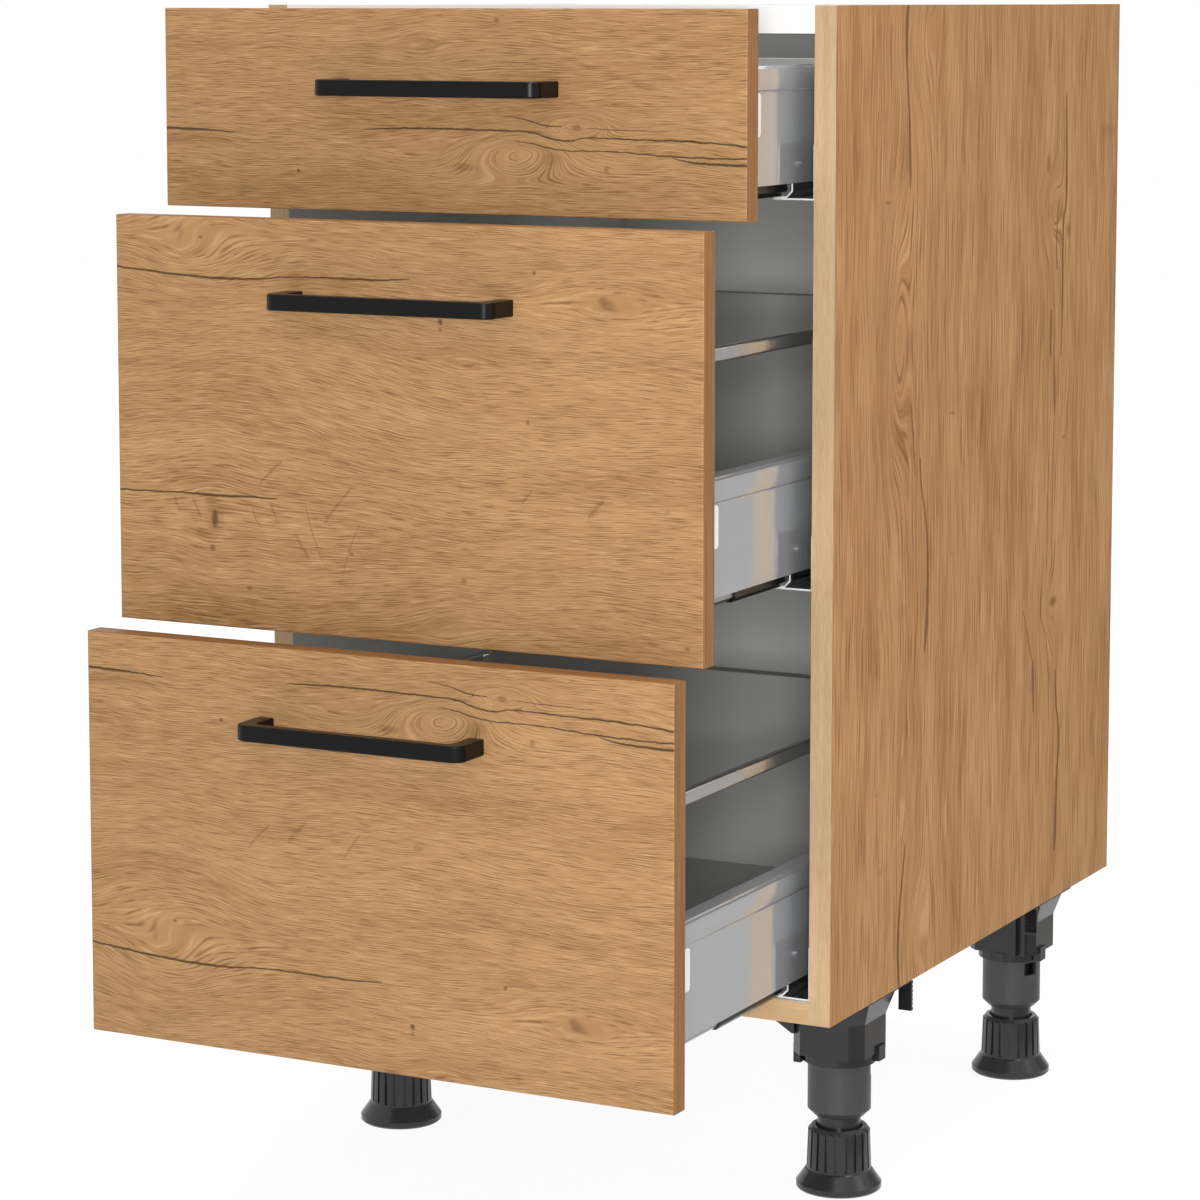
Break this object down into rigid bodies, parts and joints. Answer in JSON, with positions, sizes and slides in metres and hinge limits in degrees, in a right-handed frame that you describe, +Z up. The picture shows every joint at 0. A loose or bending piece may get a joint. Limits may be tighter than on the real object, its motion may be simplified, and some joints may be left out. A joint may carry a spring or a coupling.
{
  "type": "base cabinet with drawers",
  "caption": "Base cabinet with stacked drawers on full-extension runners, bar handles, open worktop side and levelling legs.",
  "frame": {"origin": "on the floor, under the middle of the bounding box with the drawers open as in the picture", "axes": "+X to the right seen from the front, +Y to the back, +Z up"},
  "size_m": [0.45, 0.833, 0.854],
  "materials": {
    "oak_board": "chipboard with a matt oak decor, grey brushed decor on the inner faces of the carcass",
    "grey_board": "coated board, smooth light grey",
    "white_board": "coated board, white",
    "beech_dowel": "plain fluted beech",
    "drawer_steel": "silver-grey powder coat with a gloss",
    "runner_steel": "bright zinc plate",
    "zinc_casting": "raw zinc casting",
    "handle_black": "black satin",
    "screw_steel": "bright zinc plate",
    "white_plastic": "moulded, satin",
    "leg_plastic": "moulded black, fine grain"
  },
  "bodies": {
    "carcass": {"side_panel_left": "oak_board", "side_panel_right": "oak_board", "bottom_panel": "oak_board", "back_panel": "grey_board", "top_rail_front": "white_board", "top_rail_rear": "white_board", "carcass_dowels": "beech_dowel", "cabinet_rails_top": "runner_steel", "cabinet_rails_middle": "runner_steel", "cabinet_rails_bottom": "runner_steel", "runner_screws": "screw_steel", "leg_bracket_front_left": "leg_plastic", "leg_tube_front_left": "leg_plastic", "leg_bracket_front_right": "leg_plastic", "leg_tube_front_right": "leg_plastic", "leg_bracket_rear_left": "leg_plastic", "leg_tube_rear_left": "leg_plastic", "leg_bracket_rear_right": "leg_plastic", "leg_tube_rear_right": "leg_plastic", "leg_screws": "screw_steel"},
    "drawer_top": {"front_top": "oak_board", "handle_top": "handle_black", "handle_screws_top": "screw_steel", "drawer_side_right_top": "drawer_steel", "drawer_side_left_top": "drawer_steel", "drawer_bottom_top": "grey_board", "drawer_back_top": "grey_board", "drawer_rails_top": "runner_steel", "cover_caps_top": "white_plastic", "front_fixings_top": "zinc_casting"},
    "runner_top": {"slide_rails_top": "runner_steel"},
    "drawer_middle": {"front_middle": "oak_board", "handle_middle": "handle_black", "handle_screws_middle": "screw_steel", "drawer_side_right_middle": "drawer_steel", "drawer_side_left_middle": "drawer_steel", "drawer_bottom_middle": "grey_board", "drawer_back_middle": "grey_board", "drawer_rails_middle": "runner_steel", "cover_caps_middle": "white_plastic", "front_fixings_middle": "zinc_casting", "gallery_rails_middle": "drawer_steel"},
    "runner_middle": {"slide_rails_middle": "runner_steel"},
    "drawer_bottom": {"front_bottom": "oak_board", "handle_bottom": "handle_black", "handle_screws_bottom": "screw_steel", "drawer_side_right_bottom": "drawer_steel", "drawer_side_left_bottom": "drawer_steel", "drawer_bottom_bottom": "grey_board", "drawer_back_bottom": "grey_board", "drawer_rails_bottom": "runner_steel", "cover_caps_bottom": "white_plastic", "front_fixings_bottom": "zinc_casting", "gallery_rails_bottom": "drawer_steel"},
    "runner_bottom": {"slide_rails_bottom": "runner_steel"},
    "foot_front_left_body": {"foot_front_left": "leg_plastic"},
    "foot_front_right_body": {"foot_front_right": "leg_plastic"},
    "foot_rear_left_body": {"foot_rear_left": "leg_plastic"},
    "foot_rear_right_body": {"foot_rear_right": "leg_plastic"}
  },
  "joints": [
    {"name": "drawer_top_slide", "type": "slide", "parent": "carcass", "child": "drawer_top", "axis": [0, -1, 0], "range_m": [-0.119, 0.331]},
    {"name": "runner_top_slide", "type": "slide", "parent": "carcass", "child": "runner_top", "axis": [0, -1, 0], "range_m": [-0.0595, 0.1655]},
    {"name": "drawer_middle_slide", "type": "slide", "parent": "carcass", "child": "drawer_middle", "axis": [0, -1, 0], "range_m": [-0.182, 0.268]},
    {"name": "runner_middle_slide", "type": "slide", "parent": "carcass", "child": "runner_middle", "axis": [0, -1, 0], "range_m": [-0.091, 0.134]},
    {"name": "drawer_bottom_slide", "type": "slide", "parent": "carcass", "child": "drawer_bottom", "axis": [0, -1, 0], "range_m": [-0.223, 0.227]},
    {"name": "runner_bottom_slide", "type": "slide", "parent": "carcass", "child": "runner_bottom", "axis": [0, -1, 0], "range_m": [-0.1115, 0.1135]},
    {"name": "foot_front_left_screw", "type": "slide", "parent": "carcass", "child": "foot_front_left_body", "axis": [0, 0, -1], "range_m": [-0.007, 0.02]},
    {"name": "foot_front_right_screw", "type": "slide", "parent": "carcass", "child": "foot_front_right_body", "axis": [0, 0, -1], "range_m": [-0.007, 0.02]},
    {"name": "foot_rear_left_screw", "type": "slide", "parent": "carcass", "child": "foot_rear_left_body", "axis": [0, 0, -1], "range_m": [-0.007, 0.02]},
    {"name": "foot_rear_right_screw", "type": "slide", "parent": "carcass", "child": "foot_rear_right_body", "axis": [0, 0, -1], "range_m": [-0.007, 0.02]}
  ],
  "couplings": [
    {"joint": "runner_top_slide", "follows": "drawer_top_slide", "ratio": 0.5},
    {"joint": "runner_middle_slide", "follows": "drawer_middle_slide", "ratio": 0.5},
    {"joint": "runner_bottom_slide", "follows": "drawer_bottom_slide", "ratio": 0.5}
  ]
}
